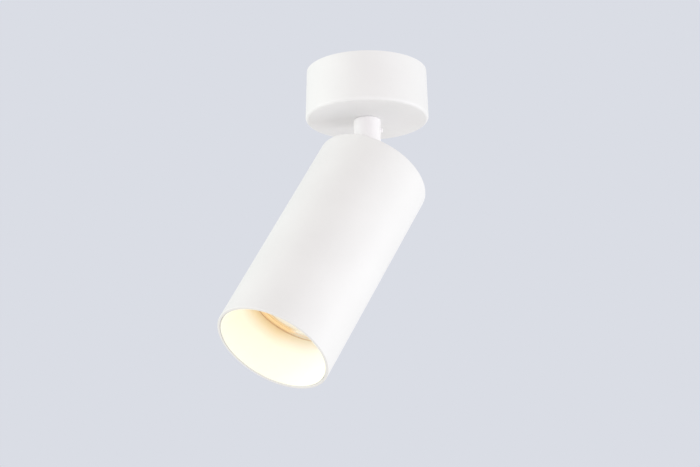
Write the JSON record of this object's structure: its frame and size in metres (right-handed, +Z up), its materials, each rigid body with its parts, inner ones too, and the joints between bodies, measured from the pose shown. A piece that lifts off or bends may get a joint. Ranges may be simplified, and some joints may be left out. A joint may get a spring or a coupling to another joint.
{
  "type": "surface mounted ceiling spotlight",
  "caption": "Round ceiling canopy with a short turning stem and a long cylindrical head that tilts on it, holding a twist-in reflector lamp behind a conical reflector.",
  "frame": {"origin": "centre of the canopy on the ceiling plane, at the upper face of the mounting bracket", "axes": "+Z up into the ceiling; X along the mounting bracket and its two slots; the head leans towards -X and -Y at rest"},
  "size_m": [0.1, 0.0916, 0.1619],
  "materials": {
    "white_paint": "fine matt white powder coat",
    "zinc_steel": "bright zinc plate",
    "spring_steel": "plain spring steel",
    "brass": "turned brass",
    "block_plastic": "natural nylon",
    "live_insulation": "brown lead insulation",
    "neutral_insulation": "blue lead insulation",
    "earth_insulation": "green and yellow lead insulation",
    "ceramic": "unglazed steatite ceramic",
    "lamp_housing": "white lamp housing",
    "lamp_lens": "frosted lens",
    "light_source": "phosphor coated chips",
    "reflector_white": "matt white moulded reflector"
  },
  "bodies": {
    "canopy_assembly": {"mounting_bracket": "zinc_steel", "canopy": "white_paint", "canopy_screws": "white_paint", "terminal_block": "block_plastic", "terminal_inserts": "brass", "terminal_screws": "zinc_steel", "terminal_fixing_screw": "zinc_steel", "stem_earth_terminal": "zinc_steel", "link_earth_terminal": "zinc_steel", "bracket_earth_screw": "zinc_steel", "canopy_live_lead": "live_insulation", "canopy_neutral_lead": "neutral_insulation", "canopy_earth_lead": "earth_insulation", "earth_link_lead": "earth_insulation", "pan_bush": "block_plastic", "pan_stop_pin": "zinc_steel"},
    "stem_assembly": {"stem": "white_paint", "stem_nipple": "zinc_steel", "stem_set_screw": "white_paint", "pan_stop_washer": "zinc_steel", "pan_spring_washer": "zinc_steel", "pan_lock_nut": "zinc_steel", "pivot_screws": "zinc_steel", "stem_live_lead": "live_insulation", "stem_neutral_lead": "neutral_insulation", "stem_earth_lead": "earth_insulation"},
    "head_assembly": {"head_shell": "white_paint", "top_cap": "white_paint", "cap_screws": "zinc_steel", "cap_spacers": "zinc_steel", "hinge_bracket": "zinc_steel", "pivot_washers": "zinc_steel", "head_earth_terminal": "zinc_steel", "head_earth_screw": "zinc_steel", "lampholder": "ceramic", "lampholder_contacts": "brass", "lampholder_screws": "zinc_steel", "head_live_lead": "live_insulation", "head_neutral_lead": "neutral_insulation", "head_earth_lead": "earth_insulation"},
    "lamp": {"lamp_body": "lamp_housing", "lamp_lens": "lamp_lens", "lamp_pins": "brass", "lamp_led_board": "lamp_housing", "lamp_leds": "light_source"},
    "reflector_unit": {"reflector": "reflector_white", "reflector_springs": "spring_steel"}
  },
  "joints": [
    {"name": "stem_pan", "type": "hinge", "parent": "canopy_assembly", "child": "stem_assembly", "pos_m": [0, 0, -0.025], "axis": [0, 0, 1], "range_deg": [-170, 170]},
    {"name": "head_tilt", "type": "hinge", "parent": "stem_assembly", "child": "head_assembly", "pos_m": [0, 0, -0.057], "axis": [-0.6201, 0.7846, 0], "range_deg": [-32.32, 27.68]},
    {"name": "lamp_twist", "type": "hinge", "parent": "head_assembly", "child": "lamp", "pos_m": [0, 0, -0.057], "axis": [-0.4195, -0.3315, -0.8451], "range_deg": [0, 20]},
    {"name": "reflector_pull", "type": "slide", "parent": "head_assembly", "child": "reflector_unit", "axis": [-0.4195, -0.3315, -0.8451], "range_m": [0, 0.03]}
  ]
}
